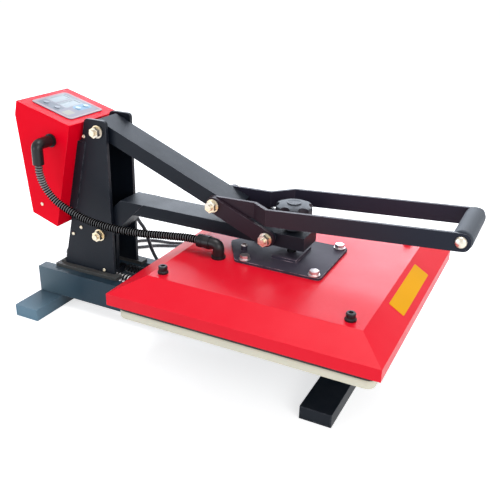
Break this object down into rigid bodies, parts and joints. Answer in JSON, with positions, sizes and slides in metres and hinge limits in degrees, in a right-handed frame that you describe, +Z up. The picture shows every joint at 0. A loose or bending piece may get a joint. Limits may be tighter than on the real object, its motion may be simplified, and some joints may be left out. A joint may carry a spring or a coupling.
{
  "type": "flat heat press",
  "caption": "Clamshell flat heat press: square heated cover on a cranked arm, toggle lever with a padded bar, tube frame and a rear control box.",
  "frame": {"origin": "on the floor below the middle of the press, measured without the mains cord", "axes": "+X towards the handle, +Y towards the side without the hose, +Z up"},
  "size_m": [0.8137, 0.4836, 0.3589],
  "materials": {
    "black_powder": "satin",
    "red_powder": "satin",
    "zinc": "satin",
    "spring_steel": "polished",
    "black_plastic": "matte",
    "cord_rubber": "matte",
    "grip_foam": "matte",
    "silicone": "matte",
    "fibre": "matte",
    "cast_aluminium": "satin",
    "panel_grey": "gloss",
    "display": "gloss",
    "board": "matte",
    "button_grey": "matte",
    "button_blue": "matte"
  },
  "bodies": {
    "base": {"rear_foot": "black_powder", "front_foot": "black_powder", "rail_near": "black_powder", "rail_far": "black_powder", "base_plate": "black_powder", "column": "black_powder", "pivot_bolt_a": "zinc", "pivot_bolt_b": "zinc", "lower_platen": "black_powder", "silicone_pad": "silicone", "spring_near": "spring_steel", "spring_far": "spring_steel", "spring_anchor": "zinc", "controller_housing": "red_powder", "controller_back": "red_powder", "controller_panel": "panel_grey", "display_module": "display", "circuit_board": "board", "switch_frame": "black_plastic", "housing_elbow": "black_plastic", "hose": "black_plastic", "cord_gland": "black_plastic", "mains_cord": "cord_rubber", "cord_coil": "cord_rubber", "plug_cord": "cord_rubber", "mains_plug": "black_plastic"},
    "arm": {"press_arm": "black_powder", "pressure_nut": "black_powder", "pivot_bolt_d": "zinc"},
    "links": {"link_plate_near": "black_powder", "link_plate_far": "black_powder", "bolt_c_near": "zinc", "bolt_c_far": "zinc"},
    "lever": {"upper_link": "black_powder", "handle_bar_near": "black_powder", "handle_bar_far": "black_powder", "handle_grip": "grip_foam", "grip_bolt_near": "zinc", "grip_bolt_far": "zinc", "pivot_bolt_c": "zinc"},
    "platen": {"platen_cover": "red_powder", "insulation": "fibre", "heating_plate": "cast_aluminium", "mounting_plate": "black_powder", "plate_bolt_1": "zinc", "plate_bolt_2": "zinc", "plate_bolt_3": "zinc", "plate_bolt_4": "zinc", "cover_plug_1": "black_plastic", "cover_plug_2": "black_plastic", "cover_plug_3": "black_plastic", "cover_plug_4": "black_plastic", "platen_elbow": "black_plastic"},
    "knob": {"star_knob": "black_plastic", "pressure_screw": "zinc"},
    "key_1": {"button_1": "button_grey"},
    "key_2": {"button_2": "button_grey"},
    "key_3": {"button_3": "button_blue"},
    "key_4": {"button_4": "button_blue"},
    "rocker": {"rocker_switch": "black_plastic"}
  },
  "joints": [
    {"name": "arm_lift", "type": "hinge", "parent": "base", "child": "arm", "pos_m": [-0.22991, 0, 0.1435], "axis": [0, -1, 0], "range_deg": [0, 40], "deforming": ["spring_near", "spring_far", "hose"]},
    {"name": "lever_swing", "type": "hinge", "parent": "base", "child": "lever", "pos_m": [-0.22091, 0, 0.3211], "axis": [0, -1, 0], "range_deg": [0, 65.68]},
    {"name": "link_fold", "type": "hinge", "parent": "arm", "child": "links", "pos_m": [0.07609, 0, 0.2001], "axis": [0, -1, 0], "range_deg": [-92.11, 0]},
    {"name": "platen_height", "type": "slide", "parent": "arm", "child": "platen", "axis": [0, 0, 1], "range_m": [0, 0.005]},
    {"name": "knob_turn", "type": "hinge", "parent": "platen", "child": "knob", "pos_m": [0.10359, 0, 0.2], "axis": [0, 0, 1], "range_deg": [0, 900]},
    {"name": "press_key_1", "type": "slide", "parent": "base", "child": "key_1", "axis": [-0.2571, 0, -0.9664], "range_m": [0, 0.001], "stiffness_N_per_m": 300},
    {"name": "press_key_2", "type": "slide", "parent": "base", "child": "key_2", "axis": [-0.2571, 0, -0.9664], "range_m": [0, 0.001], "stiffness_N_per_m": 300},
    {"name": "press_key_3", "type": "slide", "parent": "base", "child": "key_3", "axis": [-0.2571, 0, -0.9664], "range_m": [0, 0.001], "stiffness_N_per_m": 300},
    {"name": "press_key_4", "type": "slide", "parent": "base", "child": "key_4", "axis": [-0.2571, 0, -0.9664], "range_m": [0, 0.001], "stiffness_N_per_m": 300},
    {"name": "rocker_tilt", "type": "hinge", "parent": "base", "child": "rocker", "pos_m": [-0.32991, 0.062, 0.246], "axis": [1, 0, 0], "range_deg": [0, 20]}
  ],
  "couplings": [
    {"joint": "lever_swing", "follows": "arm_lift", "ratio": 1.6419},
    {"joint": "link_fold", "follows": "arm_lift", "ratio": -2.3028},
    {"joint": "knob_turn", "follows": "platen_height", "rad_per_m": 3141.6}
  ]
}
